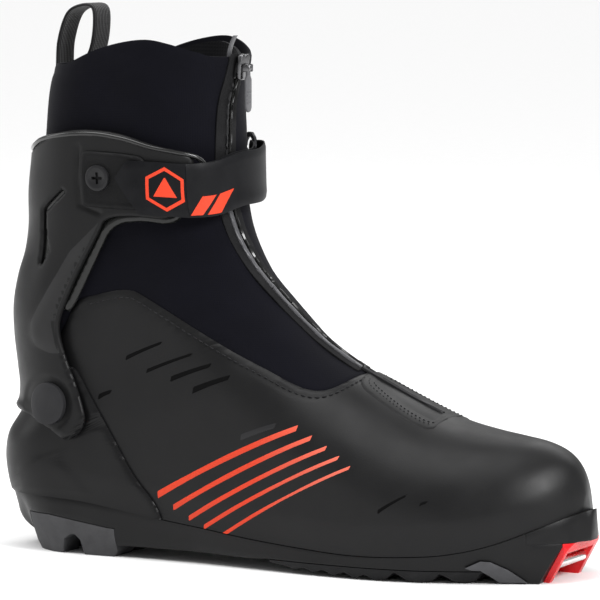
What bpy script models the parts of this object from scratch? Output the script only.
"""Cross-country skate boot, right foot: the CAD model.

Frame: +X to the toe, +Y to the inner (medial) side, +Z up, origin on the floor under the
middle of the boot. Lengths below are millimetres measured from the back of the heel, and
place() turns them into world metres.

Nearly every wall of the boot is a layer of one smooth form, the outside of the upper and
shaft. form(d) is that form grown by d millimetres, so layer(a, b) is the wall between two
of them, and a panel is a layer trimmed by its side outline.
"""
import math

import bmesh
import bpy
import numpy as np

MM = 0.001
MID_X, MID_Y = 144.55, 1.45      # the middle of the bounding box, from the heel's back

TOE_X = 288.6                  # front of the upper
PIVOT_X, PIVOT_Z = 36.7, 71.3  # ankle axis of the cuff
FLOOR = 0.35                   # the form's bottom lies this far above the feather line
BACK_ROUND, FRONT_ROUND = 34.0, 40.0   # how deep the section's ends round off
TOE_DRIFT = 8.0                # the toe lies this far to the inner side of the heel
SIDE_POINTS = 6                # points up each side of a section of the form

# Layers, as (outer, inner) distance from the form
UPPER_SKIN = (0.0, -1.8)
GAITER_SKIN = (0.0, -1.5)
LINER_WALL = (-3.4, -6.6)
TONGUE_WALL = (-7.1, -9.6)
COUNTER_WALL = (2.2, 0.4)
LINING_WALL = (3.8, 2.4)
CUFF_WALL = (6.2, 4.2)
ZIP_TAPE = (1.2, 0.4)
ZIP_COIL = (2.2, 1.6)
THROAT_SKIN = (1.3, 0.4)
STRAP_BASE_WALL = (8.0, 6.6)
RING_WALL = (6.1, 4.5)
TAB_WALL = (8.2, 6.9)
PUFF_WALL = (-2.15, -3.05)
LACE_WALL = (-1.95, -3.0)

# Lasting board, liner sole and footbed, upwards from the feather line
BOARD_GAP, BOARD_THICK = 0.4, 2.0
LINER_FLOOR, LINER_SOLE = 2.9, 3.0
FOOTBED_GAP, FOOTBED_THICK = 0.4, 3.5

# Holes for the hardware, and each turned piece as (radius, distance from the form)
CUFF_HOLE, COUNTER_HOLE, UPPER_HOLE, SCREW_HOLE, NUT_HOLE = 9.8, 5.8, 13.2, 4.8, 8.8
PIVOT_CAP = [(0, 9.0), (9.5, 9.0), (10.25, 8.5), (10.25, 7.4), (0, 7.4)]
PIVOT_BUSH = [(2.9, 6.4), (4.5, 6.4), (4.5, 4.4), (2.9, 4.4)]
PIVOT_RIVET = [(0, 6.8), (2.5, 6.8), (2.5, -1.5), (6.0, -1.5), (6.0, -2.8), (0, -2.8)]
STRAP_SCREW = [(0, 9.9), (5.3, 9.9), (6.0, 9.3), (6.0, 8.4), (2.0, 8.4), (2.0, 4.6), (0, 4.6)]
STRAP_NUT = [(2.4, 6.1), (4.0, 6.1), (4.0, 4.4), (2.4, 4.4)]
ANCHOR_RIVET = [(0, 9.8), (3.8, 9.8), (4.5, 9.3), (4.5, 8.6), (2.0, 8.6), (2.0, 4.6), (0, 4.6)]
SCREW_RECESS = ((3.0, 0.7), (0.7, 3.0))  # half length and half height of the cross's two slots

# Sole
BLOCK_CENTRE = 7.5
POCKET_HALF, SLOT_HALF, BAR_HALF = 18.4, 14.5, 16.6
TOE_BAR_X, TOE_BAR_Z, TOE_BAR_DIAMETER, TOE_BAR_HOLE = 280.5, 8.5, 4.5, 5.1
INSERT_CLEARANCE = 0.4           # between the red insert and its pocket, on each side
GRIP_GAP_HALF = 10.0             # the toe grips stop this far from the block's centre
SHANK_X, SHANK_HALF, SHANK_SLOT_HALF = 130.0, 14.5, 15.0
GUIDE_GROOVE_WIDTH, GUIDE_GROOVE_TOP, GUIDE_GROOVE_Y = 7.0, 4.4, 12.0

# Strap
STRAP_THICK, STRAP_WIDTH = 1.6, 24.6
STRAP_FOLD_SHARE = 0.852         # where the loose end starts to lift
SCREW_X, SCREW_Z = 67.0, 177.5
RIVET_X, RIVET_Z = 91.0, 178.5
LOOP_THICK, LOOP_HALF = 1.6, 8.0

# Lace
LACE_WIDTH, LACE_HALF, LACE_RUNGS, LACE_HEIGHTS = 2.2, 13.0, 6, (98.0, 136.0)

# Zip slider: the back of its body, its height, and its lean with the collar's front
SLIDER_X, SLIDER_Y, SLIDER_Z, SLIDER_LEAN = 119.5, -3.4, 228.0, 0.12
PIN_AWAY, PULL_LENGTH = 3.4, 20.5

# Side view of the form's front edge, collar to toe
FRONT = [(115, 262), (116.5, 248), (117.5, 236), (116.5, 226), (114.5, 212), (115, 198),
         (115.5, 180), (116.5, 166), (120.3, 151), (128.3, 136), (138.5, 123.6), (149.8, 111.8),
         (161.8, 101.2), (176, 91.8), (192.5, 83.4), (209, 75.6), (225, 69), (241, 65.2),
         (255.5, 62.8), (267, 60.8), (276.5, 57.3), (283, 51.8), (286.8, 44), (288.3, 36.5),
         (288.6, 28)]
# Its back edge, as (height, x)
BACK = [(10, 7), (20, 3.5), (30, 0.4), (38, -0.9), (46, -1.2), (54, 0.6), (62, 6), (69, 10.2),
        (76, 11.2), (88, 10.2), (103, 8.6), (116, 8.6), (128, 11), (140, 15), (152, 17),
        (169, 17.4), (187, 19.6), (207, 21.3), (221, 24), (230, 27), (262, 33)]
# Where the upper meets the sole, as (x, height)
FEATHER = [(-20, 27), (28, 26.5), (52, 25.4), (71, 23), (92, 20), (118, 17), (134, 15),
           (170, 12), (195, 10.8), (220, 11.6), (239, 13.2), (259, 18), (276, 25), (288.6, 30.8),
           (300, 34.5)]
# Half widths of the foot, outer and inner side, as (x, width)
FOOT_OUTER = [(-10, 34), (35, 34), (70, 35.5), (110, 37.5), (150, 42), (190, 48), (212, 50),
              (240, 49), (300, 46)]
FOOT_INNER = [(-10, 33), (35, 33), (70, 32), (110, 35), (150, 38), (190, 43), (215, 45),
              (240, 44), (300, 43)]
# Half width of the leg, as (height, width)
LEG = [(0, 34), (60, 34), (110, 35.5), (150, 36), (190, 38), (237, 41.5), (270, 44)]

TOP_Z, CORNER_R = 262.0, 235.5
# Where section lines start, as distance r round the back and sole, and end on the front edge
SECTION_PAIRS = [(0, 115, 262), (30, 117.5, 235), (54, 114.6, 210), (75, 115, 190),
                 (97, 115.7, 177), (122, 116.5, 166), (150, 119.6, 153.5), (176, 124, 144),
                 (200, 128.6, 135.6), (218, 133, 130), (235, 139, 123), (246, 145, 116.5),
                 (272, 154, 108), (296, 163, 100.4), (326, 175, 92.8), (356, 188, 86.8),
                 (386, 202, 80.4), (416, 215, 74.4), (441, 227, 69.2), (464, 239, 65.8),
                 (484, 252, 63.4), (499, 263, 61.6), (510, 272.6, 59), (518, 280, 54.8),
                 (522, 285, 48), (523.6, 288, 38)]
SECTION_ROWS = [0, 32, 62, 90, 116, 140, 162, 182, 202, 220, 235.5, 238, 246, 260, 282,
                312, 344, 376, 406, 434, 458, 478, 495, 508, 517, 522, 523.6]

# Side outlines, back to front
SEAM = [(-30, 77), (14, 77), (30, 84), (41.5, 104), (50, 119), (59.5, 122.4), (70, 125),
        (78, 125.5), (83, 124), (96, 117.5), (112, 109), (130, 100), (148, 92), (161, 86),
        (171, 83.4), (178, 85.2), (182.5, 91), (186, 102), (188, 125)]
ANKLE_LINE = [(-30, 124), (11, 135), (120, 164), (170, 177)]
RIM = [(-30, 228), (28, 229), (42, 229), (50, 231), (63, 236), (76, 239.5), (89, 241),
       (99, 239), (109, 235), (118, 232.5), (160, 232)]
CUFF_OUTLINE = [(-30, 70), (20, 67), (30, 62.5), (39.5, 58), (47.6, 53), (57, 62.5),
                (54.6, 72), (50, 84), (46, 93), (43, 104), (43.5, 112), (53, 132),
                (65, 152), (68, 159), (84, 160.5), (98, 158.5), (104, 162), (109, 176),
                (110, 186), (106, 190), (93, 193), (80, 197.5), (69.5, 199), (59, 199.5),
                (48, 198.5), (37, 196), (27, 191), (19, 187), (-30, 186.5)]
LINING_OUTLINE = [(-30, 128), (34, 127), (40.5, 120), (42, 108), (44, 107), (51, 119),
                  (58, 125), (67, 144), (71, 155.5), (86, 158), (100, 156), (105, 160),
                  (108, 176), (108, 185), (104, 188.5), (92, 190.5), (80, 194.5), (69.5, 196),
                  (59, 196.5), (48, 195.5), (37, 193), (27, 188), (19, 184), (-30, 183.5)]
COUNTER_OUTLINE = [(-30, 74), (22, 74), (36, 86), (47.6, 89.5), (52, 84), (57, 75.5),
                   (70, 56), (80, 40), (92, 27), (96, 15), (-30, 15)]
# Middle height of the strap along it: outer side below 1, front at 1, inner side above 1
STRAP_MIDDLE = [(0.5, 174.6), (0.75, 173.2), (0.88, 172.3), (0.95, 173.6), (1.0, 177.2),
                (1.05, 179.6), (1.15, 180.0), (1.3, 179.5)]
STRAP_TIP = [(100, 140), (89, 160), (76.5, 177), (84, 187), (92, 200), (107, 200), (107, 140)]
STRAP_BASE_OUTLINE = [(57.5, 165.5), (59, 164), (86, 163), (91, 164), (91, 186), (87, 188.5),
                      (60, 190), (57.5, 188.5)]
RING_WINDOW = [(101.2, 166), (109.9, 166), (109.9, 193.6), (101.2, 193.6)]
TAB_OUTLINE = [(82, 168), (84, 166), (103.5, 169), (103.5, 190), (84, 190), (82, 188)]
OUTSOLE_PROFILE = [(-10, 60), (-10, 21), (2.4, 19), (6.2, 11), (12.8, 4.6), (18.5, 3.4),
                   (18.5, 18.4), (32, 18.4), (64.2, 14.2), (68.4, 13.9), (68.4, 5.7),
                   (113, 5.6), (139, 5.2), (151, 6), (255, 6), (258.4, 0.8), (260.4, 0),
                   (275.8, 0), (285.8, 18), (285.8, 18.2), (272, 18.2), (272, 60)]
HEEL_TREAD_PROFILE = [(18.9, 3.4), (21.6, 0), (66, 0), (68, 2.6), (68, 13.5), (64.1, 13.8),
                      (32, 18), (18.9, 18)]
FOREFOOT_PROFILE = [(150.8, 5.6), (152, 4.4), (160, 3.2), (165, 2.4), (170, 3.4), (175, 1.6),
                    (180, 3.2), (185, 1.0), (191, 3.0), (196, 0.5), (201, 2.6), (206, 0.3),
                    (211, 1.0), (216, 4.7), (221, 1.0), (227, 0.0), (232, 1.2), (236, 4.7),
                    (241, 1.2), (246, 0.1), (250, 1.5), (252.5, 4.7), (254.6, 5.6)]
HEEL_SLOT = [(37, -5), (51.5, -5), (49, 7), (46.5, 9.5), (43.5, 9.5), (40, 7)]
TOE_POCKET = [(265.6, -5), (300, -5), (300, 18.4), (265.6, 18.4)]
INSERT_CORE = [(266, 0), (278.5, 0), (288.5, 18), (266, 18)]
INSERT_FACE = [(276.1, 0), (278.5, 0), (288.5, 18), (286.1, 18)]
BUMPER_PROFILE = [(272.3, 18.6), (310, 18.6), (310, 60), (272.3, 60)]
GRIP_PROFILE = [(247.5, 7.6), (254, 10.8), (258, 10.5), (264, 7), (271.5, 0.6), (260, 0.6),
                (257, 3.4), (253.5, 6.4), (250, 6.6)]
SOLE_LOW_OUTER = [(13, 0), (15, 9), (19, 17), (25, 23), (33, 28), (43, 30), (62, 30), (80, 28),
                  (110, 28), (140, 34), (170, 41), (200, 44), (225, 42), (243, 36), (256, 30),
                  (266, 26.5), (276, 23.5), (285, 20.5), (289, 16), (291.5, 8), (292.6, 4)]
SOLE_LOW_INNER = [(13, 0), (15, 9), (19, 17), (25, 23), (33, 27.5), (43, 29), (62, 27),
                  (80, 23), (110, 22), (140, 28), (170, 36), (200, 40), (225, 39),
                  (243, 34), (256, 29), (266, 26), (276, 23.5), (285, 20.5), (289, 16),
                  (291.5, 8), (292.6, 4)]
LOCK_OUTLINE = [(100, 138.5), (140, 138.5), (140, 151), (100, 151)]
# Middle of the zip seen from the front, as (y, height)
ZIP_LINE = [(2.0, 262), (-2.6, 232), (-8.2, 200), (-9.0, 176), (-6.5, 148), (-2.5, 126),
            (1.0, 106), (3.5, 92), (4.8, 78), (5.2, 60)]
THROAT_OUTLINE = [(181, 91.5), (186, 85), (194, 80), (205, 74), (216, 68.8), (222, 67),
                  (223.5, 69), (222.5, 78), (221, 110), (181, 110)]


def place(x, y, z):
    """World metres of a point given in millimetres from the back of the heel."""
    return ((x - MID_X) * MM, (y - MID_Y) * MM, z * MM)


def smooth(points):
    """A smooth function through (t, value) points: cubic pieces with Catmull-Rom slopes."""
    t, v = (np.array(c, float) for c in zip(*points))
    slope = np.gradient(v, t)

    def value(at):
        at = np.clip(np.asarray(at, float), t[0], t[-1])
        i = np.clip(np.searchsorted(t, at) - 1, 0, len(t) - 2)
        h = t[i + 1] - t[i]
        u = (at - t[i]) / h
        return ((2 * u**3 - 3 * u**2 + 1) * v[i] + (u**3 - 2 * u**2 + u) * h * slope[i]
                + (3 * u**2 - 2 * u**3) * v[i + 1] + (u**3 - u**2) * h * slope[i + 1])
    return value


def curve(points, count):
    """A smooth polyline of count points through the given ones."""
    points = np.array(points, float)
    at = np.arange(len(points))
    steps = np.linspace(0, len(points) - 1, count)
    return np.stack([smooth(list(zip(at, c)))(steps) for c in points.T], axis=-1)


def ease(low, high, at):
    u = np.clip((at - low) / (high - low), 0, 1)
    return u * u * (3 - 2 * u)


back_x = smooth(BACK)
feather_z = smooth(FEATHER)
foot_outer = smooth(FOOT_OUTER)
foot_inner = smooth(FOOT_INNER)
leg_width = smooth(LEG)
strap_middle = smooth(STRAP_MIDDLE)


def centre_y(x):
    return TOE_DRIFT * ease(90, 300, x)


def rounding(depth, power=2.1):
    """0 at the edge of a section, rising along a rounded end to 1 at full depth."""
    q = np.clip(depth, 0, 1)
    return (1 - (1 - q) ** power) ** (1 / power)


def front_edge(grow):
    """The front edge moved outwards by grow, as a polyline from collar to toe."""
    line = curve(FRONT, 150)
    along = np.gradient(line, axis=0)
    along /= np.linalg.norm(along, axis=1)[:, None]
    return line + grow * np.stack([-along[:, 1], along[:, 0]], axis=-1)


def depth_behind(edge, x, z):
    """How far points lie behind the front edge; negative in front of it."""
    start, step = edge[:-1], np.diff(edge, axis=0)
    rel = np.stack([x, z], axis=-1)[..., None, :] - start
    along = np.clip((rel * step).sum(-1) / (step * step).sum(-1), 0, 1)
    gap = rel - along[..., None] * step
    far = np.linalg.norm(gap, axis=-1)
    nearest = far.argmin(-1)[..., None]
    side = step[..., 0] * gap[..., 1] - step[..., 1] * gap[..., 0]
    sign = np.where(np.take_along_axis(side, nearest, -1)[..., 0] > 0, -1, 1)
    return sign * np.take_along_axis(far, nearest, -1)[..., 0]


def half_width(x, z, grow, outer_side):
    """Half width of the form at (x, z), grown by grow, on its outer or inner side."""
    x, z = np.asarray(x, float), np.asarray(z, float)
    toe = TOE_X + grow
    foot = foot_outer(x) if outer_side else foot_inner(x)
    start, power = (206, 2.1) if outer_side else (232, 2.3)
    into_toe = np.clip((x - start) / (toe - start), 0, 1)
    tuck = 1 - 0.05 * (1 - ease(0, 16, z - feather_z(x)))
    blend = ease(60, 115, z - 0.35 * np.clip(x - 80, 0, 200))
    body = (foot * tuck * (1 - blend) + leg_width(z) * blend + grow)
    body = body * np.clip(1 - into_toe**power, 0, 1) ** (1 / power)
    edge = front_edge(grow)
    toe_line = edge[edge[:, 0] > 190]
    above = np.interp(x, toe_line[:, 0], toe_line[:, 1]) - z
    depth = depth_behind(edge, x, z)
    mix = ease(205, 245, x)
    depth = depth * (1 - mix) + above * mix
    back = (x - back_x(z) + grow) / (BACK_ROUND + grow)
    return body * rounding(back) * rounding(depth / (FRONT_ROUND + grow))


def form_lines(grow):
    """The form's section lines in the side view: rear or lower ends, front ends, openness.

    r runs down the back from height TOP_Z to the corner above the heel, then along the
    feather line to the toe. Each section line joins it to a point of the front edge."""
    edge = front_edge(0)
    pairs = np.array(SECTION_PAIRS, float)
    nearest = [np.linalg.norm(edge - point, axis=1).argmin() for point in pairs[:, 1:]]
    r = np.array(SECTION_ROWS, float)
    at = np.interp(r, pairs[:, 0], nearest)
    grown = front_edge(grow)
    high = np.stack([np.interp(at, np.arange(len(grown)), c) for c in grown.T], axis=-1)
    corner = feather_z(0) + FLOOR
    back_height = corner + (TOP_Z - corner) * (1 - np.clip(r / CORNER_R, 0, 1))
    x = r - CORNER_R
    start = float(back_x(corner)) - grow
    x = np.where(x < 60, start + (60 - start) * x / 60, x)
    x = x + grow * np.clip((x - 215) / (TOE_X - 215), 0, 1)
    on_back = r <= CORNER_R
    low = np.stack([np.where(on_back, back_x(back_height) - grow, x),
                    np.where(on_back, back_height, feather_z(x) + FLOOR)], axis=-1)
    return low, high, ease(CORNER_R, CORNER_R + 14, r)


def mesh_object(name, points, faces):
    """An object from points in millimetres and index faces, with faces turned outwards."""
    mesh = bpy.data.meshes.new(name)
    mesh.from_pydata([place(*p) for p in points], [], faces)
    work = bmesh.new()
    work.from_mesh(mesh)
    bmesh.ops.recalc_face_normals(work, faces=work.faces)
    work.to_mesh(mesh)
    work.free()
    body = bpy.data.objects.new(name, mesh)
    bpy.context.scene.collection.objects.link(body)
    return body


def form(grow, drop=0.0):
    """The whole boot form, grown by grow: one closed solid. drop lengthens it downwards."""
    low, high, opened = form_lines(grow)
    closed_steps = (1 - np.cos(np.pi * np.arange(1, SIDE_POINTS + 1) / (SIDE_POINTS + 1))) / 2
    open_steps = np.sin(np.pi / 2 * np.arange(SIDE_POINTS) / SIDE_POINTS)
    points, ring = [], 2 * SIDE_POINTS + 2
    for rear, front, share in zip(low, high, opened):
        steps = closed_steps * (1 - share) + open_steps * share
        side = rear + steps[:, None] * (front - rear)
        down = drop * share * (rear - front) / np.linalg.norm(rear - front)
        middle = centre_y(side[:, 0])
        outer = middle - np.maximum(half_width(side[:, 0], side[:, 1], grow, True), 0.2)
        inner = middle + np.maximum(half_width(side[:, 0], side[:, 1], grow, False), 0.2)
        rear = rear + down
        side[0] += down
        points.append((rear[0], centre_y(rear[0]), rear[1]))
        points += [(p[0], y, p[1]) for p, y in zip(side, outer)]
        points.append((front[0], centre_y(front[0]), front[1]))
        points += [(p[0], y, p[1]) for p, y in zip(side[::-1], inner[::-1])]
    rows = len(low)
    faces = [tuple(range(ring)), tuple(range((rows - 1) * ring, rows * ring))[::-1]]
    for row in range(rows - 1):
        for k in range(ring):
            a, b = row * ring + k, row * ring + (k + 1) % ring
            faces += [(a, a + ring, b + ring), (a, b + ring, b)]
    return mesh_object("form", points, faces)


def prism(outline, low=-80.0, high=90.0, axis="y"):
    """A closed block: an outline extruded along y (outline in x, z), z or x."""
    order = {"y": lambda u, v, t: (u, t, v), "z": lambda u, v, t: (u, v, t),
             "x": lambda u, v, t: (t, u, v)}[axis]
    count = len(outline)
    points = [order(u, v, t) for t in (low, high) for u, v in outline]
    faces = [tuple(range(count)), tuple(range(count, 2 * count))[::-1]]
    faces += [(i, (i + 1) % count, count + (i + 1) % count, count + i) for i in range(count)]
    return mesh_object("prism", points, faces)


def block(x0, x1, y0, y1, z0, z1):
    return prism([(x0, z0), (x1, z0), (x1, z1), (x0, z1)], y0, y1)


def cylinder(diameter, low, high, x, z, sides=20):
    """A cylinder along y through (x, z)."""
    turn = 2 * math.pi * (np.arange(sides) + 0.5) / sides
    return prism(list(zip(x + diameter / 2 * np.cos(turn), z + diameter / 2 * np.sin(turn))),
                 low, high)


def turned(profile, x, z, side, sides=18):
    """Hardware turned about an axis along y through (x, z), lying on the form as the walls do.

    The profile is a loop of (radius, distance from the form); side is -1 outside, 1 inside."""
    points, rings = [], []
    for radius, away in profile:
        count = sides if radius else 1
        rings.append(range(len(points), len(points) + count))
        for k in range(count):
            turn = 2 * math.pi * (k + 0.5) / sides
            px, pz = x + radius * math.cos(turn), z + radius * math.sin(turn)
            wide = float(half_width(px, pz, away, side < 0))
            points.append((px, float(centre_y(px)) + side * wide, pz))
    faces = []
    for near, far in zip(rings, rings[1:] + rings[:1]):
        for k in range(sides):
            turn = (k + 1) % sides
            corners = [near[k % len(near)], near[turn % len(near)],
                       far[turn % len(far)], far[k % len(far)]]
            corners = list(dict.fromkeys(corners))
            if len(corners) > 2:
                faces.append(corners)
    return mesh_object("turned", points, faces)


def carve(body, tool, operation="DIFFERENCE"):
    """Body cut by, kept inside, or joined to a tool, which is used up."""
    cut = body.modifiers.new(operation.lower(), "BOOLEAN")
    cut.operation, cut.solver, cut.object = operation, "EXACT", tool
    bpy.context.view_layer.update()
    result = bpy.data.meshes.new_from_object(body.evaluated_get(
        bpy.context.evaluated_depsgraph_get()))
    body.modifiers.remove(cut)
    body.data = result
    bpy.data.objects.remove(tool)
    return body


def keep(body, tool):
    return carve(body, tool, "INTERSECT")


def layer(wall):
    """The wall between two growths of the form, open underneath."""
    outer, inner = wall
    return carve(form(outer), form(inner, 1.0))


def raised(body, low, high=400.0):
    """The part of a body between two heights above the feather line."""
    return keep(body, prism(along_sole(low, high, -20, 310, 24)))


def finish(body, name, paint):
    """Name a finished solid, give it its material and smooth shading."""
    body.name = body.data.name = name
    body.data.materials.clear()
    body.data.materials.append(PAINTS[paint])
    body.data.shade_smooth()
    body.data.set_sharp_from_angle(angle=math.radians(35))
    return body


def paint(name, colour, roughness, metallic=0.0):
    material = bpy.data.materials.new(name)
    material.use_nodes = True
    shader = material.node_tree.nodes["Principled BSDF"]
    shader.inputs["Base Color"].default_value = (*colour, 1)
    shader.inputs["Roughness"].default_value = roughness
    shader.inputs["Metallic"].default_value = metallic
    return material


def shifted(points, dx, dz):
    return [(x + dx, z + dz) for x, z in points]


def fine(points, each=2):
    """The points joined by a smooth curve with each steps between neighbours."""
    return [tuple(p) for p in curve(points, (len(points) - 1) * each + 1)]


# ---------------------------------------------------------------- upper, gaiter and liner

def upper():
    """Synthetic leather upper: toe, sides and heel, open at the throat and underneath."""
    body = keep(layer(UPPER_SKIN), prism(fine(SEAM) + [(188, 160), (330, 160), (330, -40),
                                                        (-30, -40)]))
    carve(body, cylinder(UPPER_HOLE, -60, 60, PIVOT_X, PIVOT_Z))
    return finish(body, "upper", "leather")


def gaiter():
    """Textile gaiter: the collar moves with the cuff, the ankle part creases between."""
    collar = keep(layer(GAITER_SKIN), prism(shifted(ANKLE_LINE, 0, 0.4) + fine(RIM)[::-1]))
    finish(collar, "gaiter_collar", "softshell")
    outline = shifted(fine(SEAM), -0.1, 0.5) + [(188, 170)] + ANKLE_LINE[::-1]
    ankle = keep(layer(GAITER_SKIN), prism(outline))
    finish(ankle, "gaiter_ankle", "softshell")
    return collar, ankle


def liner():
    """Foam liner: foot part with its own floor, creasing ankle part, collar part."""
    outer, inner = LINER_WALL
    hollow = raised(form(inner), LINER_FLOOR + LINER_SOLE)
    foot = carve(raised(form(outer), LINER_FLOOR), hollow)
    foot = keep(foot, prism(fine(SEAM) + [(188, 160), (330, 160), (330, -40), (-30, -40)]))
    finish(foot, "liner_foot", "foam")
    outline = shifted(fine(SEAM), -0.1, 0.5) + [(188, 170)] + ANKLE_LINE[::-1]
    finish(keep(layer(LINER_WALL), prism(outline)), "liner_ankle", "foam")
    collar = keep(layer(LINER_WALL),
                  prism(shifted(ANKLE_LINE, 0, 0.4) + shifted(fine(RIM), 0, -3)[::-1]))
    finish(collar, "liner_collar", "foam")


def tongue():
    """Padded tongue behind the throat, from the instep up to the collar."""
    body = layer(TONGUE_WALL)
    body = keep(body, prism([(96, 228), (92, 170), (104, 132), (140, 95), (176, 70), (196, 66),
                             (205, 100), (150, 150), (140, 228)], -21, 26))
    return finish(body, "tongue", "foam")


def throat_patch():
    """Moulded patch over the lower end of the zip."""
    return finish(keep(layer(THROAT_SKIN), prism(fine(THROAT_OUTLINE[:-2])
                                                 + THROAT_OUTLINE[-2:])),
                  "throat_patch", "leather")


def zip_strip(wall, half):
    """A strip of a layer that follows the zip's line down the front."""
    path = curve(ZIP_LINE, 24)
    outline = [(y - half, z) for y, z in path] + [(y + half, z) for y, z in path[::-1]]
    return keep(keep(layer(wall), prism(outline, 95, 240, "x")),
                prism([(97, 300), (97, 165), (112, 130), (170, 60), (260, 60), (260, 300)]))


def zips():
    """Zip tape and coil, in a straight collar part and a part that bends with the ankle."""
    for wall, half, name, material in ((ZIP_TAPE, 6.0, "zip_tape", "tape"),
                                       (ZIP_COIL, 2.2, "zip_coil", "coil")):
        end = shifted(ANKLE_LINE, 0, 0.4)
        top = [(160, 234), (60, 234)]
        finish(keep(zip_strip(wall, half), prism(end + top)), name + "_collar", material)
        low = [(179.5, 200), (179.5, 60), (60, 60)]
        finish(keep(zip_strip(wall, half), prism(ANKLE_LINE[1:] + low)),
               name + "_ankle", material)


def leaning(points, y0, y1):
    """A block between y0 and y1 whose side outline leans with the front of the collar."""
    return prism([(SLIDER_X + x + SLIDER_LEAN * z, SLIDER_Z + z) for x, z in points],
                 SLIDER_Y + y0, SLIDER_Y + y1)


def zip_slider():
    """Slider body with two lugs and a pin, and the flat pull that hangs from the pin."""
    body = leaning([(0, -6), (1.6, -6), (1.6, 6), (0, 6)], -4.2, 4.2)
    for low, high in ((-2.8, -1.8), (1.8, 2.8)):
        lug = leaning([(1.2, -2), (4.8, -2), (4.8, 1.2), (1.2, 1.2)], low, high)
        carve(body, lug, "UNION")
    pin_x, pin_z = SLIDER_X + PIN_AWAY, SLIDER_Z - 0.4
    pin = cylinder(1.2, SLIDER_Y - 2.3, SLIDER_Y + 2.3, pin_x, pin_z, sides=12)
    finish(carve(body, pin, "UNION"), "zip_slider", "metal")

    pull = cylinder(3.0, SLIDER_Y - 1.4, SLIDER_Y + 1.4, pin_x, pin_z, sides=16)
    neck = block(pin_x - 0.6, pin_x + 0.6, SLIDER_Y - 1.4, SLIDER_Y + 1.4, pin_z - 3.4, pin_z)
    carve(pull, neck, "UNION")
    tab = block(pin_x - 0.65, pin_x + 0.65, SLIDER_Y - 2.6, SLIDER_Y + 2.6, pin_z - PULL_LENGTH,
                pin_z - 2.9)
    carve(pull, tab, "UNION")
    finish(carve(pull, cylinder(1.9, SLIDER_Y - 3, SLIDER_Y + 3, pin_x, pin_z, sides=12)),
           "zip_pull", "metal")


# ---------------------------------------------------------------- cuff and heel counter

def cuff():
    """Plastic cuff: spoiler at the back, two wings for the strap, two arms to the pivots."""
    body = keep(layer(CUFF_WALL), prism(fine(CUFF_OUTLINE[:-1]) + [CUFF_OUTLINE[-1]]))
    carve(body, cylinder(CUFF_HOLE, -80, 80, PIVOT_X, PIVOT_Z))
    carve(body, cylinder(NUT_HOLE, -80, 0, SCREW_X, SCREW_Z))
    carve(body, cylinder(SCREW_HOLE, 0, 80, RIVET_X, RIVET_Z))
    carve(body, block(98, 140, 0, 90, 120, 220))
    finish(body, "cuff", "shell")
    lining = keep(layer(LINING_WALL), prism(LINING_OUTLINE))
    carve(lining, block(96, 140, 0, 90, 120, 220))
    finish(lining, "cuff_lining", "rubber")


def heel_counter():
    """Stiff heel counter that carries the cuff's pivots."""
    body = keep(layer(COUNTER_WALL), prism(COUNTER_OUTLINE))
    carve(body, cylinder(COUNTER_HOLE, -80, 80, PIVOT_X, PIVOT_Z))
    return finish(body, "heel_counter", "shell")


def pivots():
    """On each side: a flanged rivet through the counter, a bush in the cuff, and a cap."""
    for name, side in (("lateral", -1), ("medial", 1)):
        finish(turned(PIVOT_CAP, PIVOT_X, PIVOT_Z, side, 24), "pivot_cap_" + name, "cap")
        finish(turned(PIVOT_BUSH, PIVOT_X, PIVOT_Z, side), "pivot_bush_" + name, "bush")
        finish(turned(PIVOT_RIVET, PIVOT_X, PIVOT_Z, side), "pivot_rivet_" + name, "metal")


# ---------------------------------------------------------------- strap

def shaft_point(side, share, z, grow):
    """A point on the shaft's surface: share 0 is the back and 1 the front of the section."""
    edge = front_edge(grow)
    shaft = edge[edge[:, 1] > 150][::-1]
    rear, front = back_x(z) - grow, np.interp(z, shaft[:, 1], shaft[:, 0])
    x = rear + share * (front - rear)
    wide = float(half_width(x, z, grow, side < 0)) if share < 1 else 0.0
    return np.array((float(x), float(centre_y(x)) + side * wide, float(z)))


def strap_height(side, share):
    """Middle height of the strap: it dips ahead of its base and rises over the front."""
    return float(strap_middle(share if side < 0 else 2 - share))


def strap_band(route):
    """A band of even width along a route of (side, share, distance of its middle)."""
    faces_out, faces_in = [], []
    for rise in (-STRAP_WIDTH / 2, STRAP_WIDTH / 2):
        line = np.array([shaft_point(side, share, strap_height(side, share) + rise, away)
                         for side, share, away in route])
        along = np.gradient(line[:, :2], axis=0)
        along /= np.linalg.norm(along, axis=1)[:, None]
        out = np.stack([along[:, 1], -along[:, 0], 0 * along[:, 0]], axis=-1)
        out *= STRAP_THICK / 2
        faces_out.append(line + out)
        faces_in.append(line - out)
    return slab(faces_out, faces_in)


def slab(outer, inner):
    """A closed plate between two equal grids of points."""
    rows, cols = len(outer), len(outer[0])
    points = [tuple(p) for grid in (outer, inner) for line in grid for p in line]
    base = rows * cols
    faces = []
    for i in range(rows - 1):
        for j in range(cols - 1):
            a = i * cols + j
            faces.append((a, a + 1, a + cols + 1, a + cols))
            faces.append((base + a, base + a + cols, base + a + cols + 1, base + a + 1))
    rim = list(range(cols)) + [i * cols + cols - 1 for i in range(1, rows)]
    rim += [(rows - 1) * cols + j for j in range(cols - 2, -1, -1)]
    rim += [i * cols for i in range(rows - 2, 0, -1)]
    faces += [(a, b, base + b, base + a) for a, b in zip(rim, rim[1:] + rim[:1])]
    return mesh_object("slab", points, faces)


def curved_plate(wall, xs, zs, columns=6):
    """An inner-side plate between two distances from the form, over a range of x and z."""
    grids = []
    for away in wall:
        grids.append([[(x, float(centre_y(x) + half_width(x, z, away, False)), z)
                       for x in np.linspace(*xs, columns)] for z in zs])
    return slab(*grids)


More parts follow.
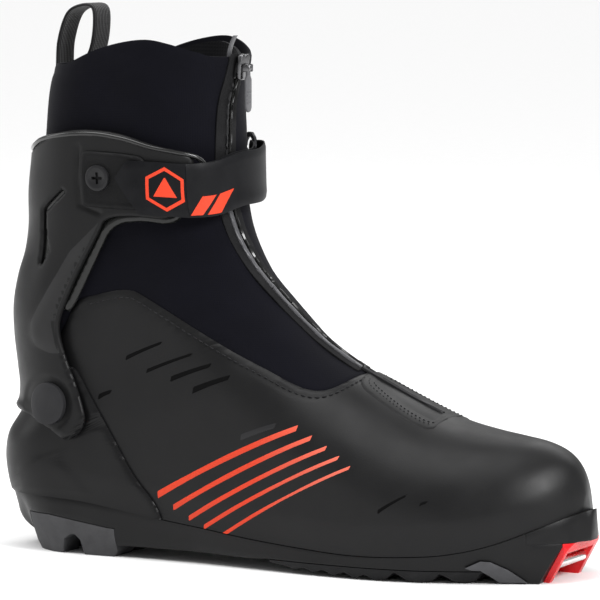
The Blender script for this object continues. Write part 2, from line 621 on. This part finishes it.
def strap():
    """Strap: from its base on the cuff round the front, round the ring's bar and back over
    itself; its last stretch, which lifts off, is a piece of its own."""
    lateral, medial = -1, 1
    first = [(lateral, share, 7.4) for share in (0.735, 0.80, 0.86, 0.905)]
    first += [(lateral, 0.945, 6.0), (lateral, 0.975, 4.6), (lateral, 0.993, 4.1),
              (medial, 1.0, 4.0), (medial, 0.993, 3.8), (medial, 0.97, 3.3),
              (medial, 0.94, 2.9), (medial, 0.905, 2.8)]
    fold = [(medial, 0.885, 3.5), (medial, 0.876, 4.6), (medial, 0.876, 6.2),
            (medial, 0.885, 7.4)]
    second = [(medial, 0.905, 7.7), (medial, 0.94, 7.9), (medial, 0.97, 7.6),
              (medial, 0.993, 7.4), (medial, 1.0, 7.4), (lateral, 0.993, 7.4),
              (lateral, 0.97, 7.7), (lateral, 0.94, 8.3), (lateral, 0.90, 9.1),
              (lateral, STRAP_FOLD_SHARE, 9.3)]
    finish(strap_band(first + fold + second), "strap", "strap")
    flap = strap_band([(lateral, share, 9.3) for share in (STRAP_FOLD_SHARE, 0.78, 0.71, 0.64,
                                                            0.57)])
    finish(keep(flap, prism(STRAP_TIP)), "strap_end", "strap")


def strap_hardware():
    """Base plate with its screw and nut outside; ring, anchor tab and rivet inside."""
    lateral, medial = (-90, 0), (0, 90)
    base = keep(layer(STRAP_BASE_WALL), prism(STRAP_BASE_OUTLINE, *lateral))
    carve(base, cylinder(SCREW_HOLE, *lateral, SCREW_X, SCREW_Z))
    finish(base, "strap_base", "rubber")
    finish(turned(STRAP_NUT, SCREW_X, SCREW_Z, -1), "strap_nut", "metal")
    screw = turned(STRAP_SCREW, SCREW_X, SCREW_Z, -1)
    bottom = float(centre_y(SCREW_X) - half_width(SCREW_X, SCREW_Z, 9.0, True))
    for long, high in SCREW_RECESS:
        carve(screw, block(SCREW_X - long, SCREW_X + long, -90, bottom, SCREW_Z - high,
                           SCREW_Z + high))
    finish(screw, "strap_screw", "metal")

    ring = curved_plate(RING_WALL, (98.6, 112.6), (163.5, 196))
    finish(carve(ring, prism(RING_WINDOW, *medial)), "strap_ring", "metal")
    tab = keep(curved_plate(TAB_WALL, (80, 106), (160, 195)), prism(TAB_OUTLINE, *medial))
    finish(carve(tab, cylinder(SCREW_HOLE, *medial, RIVET_X, RIVET_Z)), "ring_anchor",
           "webbing")
    finish(turned(ANCHOR_RIVET, RIVET_X, RIVET_Z, 1), "anchor_rivet", "metal")


def pull_loop():
    """Webbing loop sewn to the back of the collar, outside and inside."""
    route = curve([(19.6, 203), (21.6, 215), (23.4, 226), (24.4, 239), (29, 251.5),
                   (36.5, 255.6), (42.6, 254.6), (43.6, 247), (41.8, 236), (37, 226),
                   (35.2, 214)], 26)
    along = np.gradient(route, axis=0)
    along /= np.linalg.norm(along, axis=1)[:, None]
    out = np.stack([-along[:, 1], along[:, 0]], axis=-1) * LOOP_THICK / 2
    grids = [[[(p[0], y, p[1]) for p in route + sign * out] for y in (-LOOP_HALF, LOOP_HALF)]
             for sign in (1, -1)]
    return finish(slab(*grids), "pull_loop", "webbing")


# ---------------------------------------------------------------- sole

def sole_form(grow=0.0):
    """The sole's body before it is trimmed: its top follows the feather line."""
    xs = np.array([-0.6, 0.3, 2, 5, 10, 17, 26, 40, 60, 85, 110, 135, 160, 185, 208, 226, 242,
                   255, 265, 273, 280, 285, 288.5, 291, 292.6])
    points = []
    for x in xs:
        top_z, back = float(feather_z(x)), x - 1.5 * float(ease(240, 292, x))
        low_outer = max(float(np.interp(x, *zip(*SOLE_LOW_OUTER))), 0.4)
        low_inner = max(float(np.interp(x, *zip(*SOLE_LOW_INNER))), 0.4)
        top_outer = max(float(half_width(back, top_z + 1, 0.8, True)), low_outer * 0.4, 0.6)
        top_inner = max(float(half_width(back, top_z + 1, 0.8, False)), low_inner * 0.4, 0.6)
        for side, top, low in ((-1, top_outer, low_outer), (1, top_inner, low_inner)):
            rows = [(top + grow, top_z), (0.62 * top + 0.38 * low + 0.8 + grow, top_z * 0.55),
                    (low + grow, -1.0)]
            rows = rows if side < 0 else rows[::-1]
            points += [(x, centre_y(x) + side * wide, z) for wide, z in rows]
    ring = 6
    faces = [tuple(range(ring)), tuple(range(len(points) - ring, len(points)))[::-1]]
    for row in range(len(xs) - 1):
        for k in range(ring):
            a, b = row * ring + k, row * ring + (k + 1) % ring
            faces.append((a, a + ring, b + ring, b))
    return mesh_object("sole", points, faces)


def along_sole(low, high, start, end, steps=16):
    """Side outline of a plate between two heights above the feather line."""
    xs = np.linspace(start, end, steps)
    return ([(x, float(feather_z(x)) + low) for x in xs]
            + [(x, float(feather_z(x)) + high) for x in xs[::-1]])


def guide_grooves(body):
    """Cut the two grooves that the binding's ridges run in, heel to toe."""
    for side in (-1, 1):
        near, far = side * GUIDE_GROOVE_Y, side * GUIDE_GROOVE_Y + TOE_DRIFT
        half = GUIDE_GROOVE_WIDTH / 2
        carve(body, prism([(-5, near - half), (295, far - half), (295, far + half),
                           (-5, near + half)], -3, GUIDE_GROOVE_TOP, "z"))
    return body


def sole():
    """Outsole with its treads, grips, shank and the bar that the binding holds."""
    middle, shank_y = BLOCK_CENTRE, centre_y(SHANK_X)
    outsole = keep(sole_form(), prism(OUTSOLE_PROFILE))
    carve(outsole, prism(TOE_POCKET, middle - POCKET_HALF, middle + POCKET_HALF))
    carve(outsole, prism(along_sole(-2.6, 8, 60, 200), shank_y - SHANK_SLOT_HALF,
                         shank_y + SHANK_SLOT_HALF))
    finish(outsole, "outsole", "shell")
    shank = prism(along_sole(-2.2, -0.6, 60.5, 199.5), shank_y - SHANK_HALF,
                  shank_y + SHANK_HALF)
    finish(shank, "sole_shank", "shell")
    tread = keep(sole_form(), prism(HEEL_TREAD_PROFILE))
    carve(tread, prism(HEEL_SLOT))
    finish(guide_grooves(tread), "heel_tread", "grey_rubber")
    finish(guide_grooves(keep(sole_form(), prism(FOREFOOT_PROFILE))), "forefoot_tread",
           "rubber")
    for name, low, high in (("lateral", -90, middle - GRIP_GAP_HALF),
                            ("medial", middle + GRIP_GAP_HALF, 90)):
        grip = keep(sole_form(1.4), prism(GRIP_PROFILE, low, high))
        finish(carve(grip, sole_form(0.35)), "toe_grip_" + name, "grey_rubber")

    half = POCKET_HALF - INSERT_CLEARANCE
    core = keep(sole_form(), prism(INSERT_CORE, middle - half, middle + half))
    plate = keep(sole_form(), prism(INSERT_FACE))
    insert = carve(core, plate, "UNION")
    carve(insert, block(269, 300, middle - SLOT_HALF, middle + SLOT_HALF, -5, 13.5))
    bore = BAR_HALF + INSERT_CLEARANCE
    carve(insert, cylinder(TOE_BAR_HOLE, middle - bore, middle + bore, TOE_BAR_X, TOE_BAR_Z,
                           sides=16))
    finish(insert, "toe_insert", "red")
    finish(cylinder(TOE_BAR_DIAMETER, middle - BAR_HALF, middle + BAR_HALF, TOE_BAR_X,
                    TOE_BAR_Z, sides=16), "toe_bar", "metal")
    finish(keep(sole_form(), prism(BUMPER_PROFILE)), "toe_bumper", "bumper")


def insoles():
    """Lasting board under the liner, footbed in it, and the toe puff."""
    board = raised(form(-2.4), BOARD_GAP, BOARD_GAP + BOARD_THICK)
    finish(board, "lasting_board", "board")
    low = LINER_FLOOR + LINER_SOLE + FOOTBED_GAP
    finish(raised(form(LINER_WALL[1] - 0.5), low, low + FOOTBED_THICK), "footbed", "foam")
    puff = keep(layer(PUFF_WALL), prism([(246, 80), (240, 34), (243, 10), (330, 10),
                                         (330, 80)]))
    finish(raised(puff, 4.5), "toe_puff", "board")


def ribbon(line, half):
    """The outline of a band of even width round a polyline."""
    line = np.array(line, float)
    step = np.diff(line, axis=0)
    normal = np.stack([-step[:, 1], step[:, 0]], axis=-1) / np.linalg.norm(step, axis=1)[:, None]
    before, after = np.vstack([normal[:1], normal]), np.vstack([normal, normal[-1:]])
    mitre = (before + after) / (1 + (before * after).sum(-1))[:, None] * half
    return [tuple(p) for p in np.vstack([line + mitre, (line - mitre)[::-1]])]


def lace():
    """Speed lace, a flat ladder across the throat under the gaiter, and its lock above."""
    line = []
    for k, z in enumerate(np.linspace(*LACE_HEIGHTS, LACE_RUNGS)):
        side = 1 if k % 2 else -1
        line += [(side * LACE_HALF, z), (-side * LACE_HALF, z)]
    band = ribbon(line, LACE_WIDTH / 2)
    finish(keep(layer(LACE_WALL), prism(band, 100, 200, "x")), "lace", "webbing")
    lock = keep(layer(LACE_WALL), prism(LOCK_OUTLINE, -5, 9))
    finish(lock, "lace_lock", "shell")


# ---------------------------------------------------------------- main

for old in list(bpy.data.objects):
    bpy.data.objects.remove(old)

PAINTS = {
    "leather": paint("leather", (0.030, 0.031, 0.034), 0.42),
    "softshell": paint("softshell", (0.020, 0.021, 0.027), 0.85),
    "foam": paint("foam", (0.045, 0.046, 0.050), 0.95),
    "shell": paint("shell", (0.025, 0.025, 0.026), 0.50),
    "rubber": paint("rubber", (0.012, 0.012, 0.013), 0.60),
    "tape": paint("tape", (0.015, 0.015, 0.018), 0.80),
    "coil": paint("coil", (0.030, 0.030, 0.032), 0.50),
    "metal": paint("metal", (0.55, 0.55, 0.57), 0.30, 1.0),
    "cap": paint("cap", (0.075, 0.075, 0.080), 0.45),
    "bush": paint("bush", (0.60, 0.60, 0.58), 0.40),
    "strap": paint("strap", (0.040, 0.041, 0.044), 0.55),
    "webbing": paint("webbing", (0.020, 0.020, 0.022), 0.90),
    "grey_rubber": paint("grey_rubber", (0.080, 0.080, 0.082), 0.75),
    "red": paint("red", (0.55, 0.012, 0.018), 0.40),
    "bumper": paint("bumper", (0.060, 0.060, 0.064), 0.25),
    "board": paint("board", (0.30, 0.24, 0.16), 0.90),
}

upper()
gaiter()
liner()
tongue()
throat_patch()
zips()
zip_slider()
cuff()
heel_counter()
pivots()
strap()
strap_hardware()
pull_loop()
sole()
insoles()
lace()
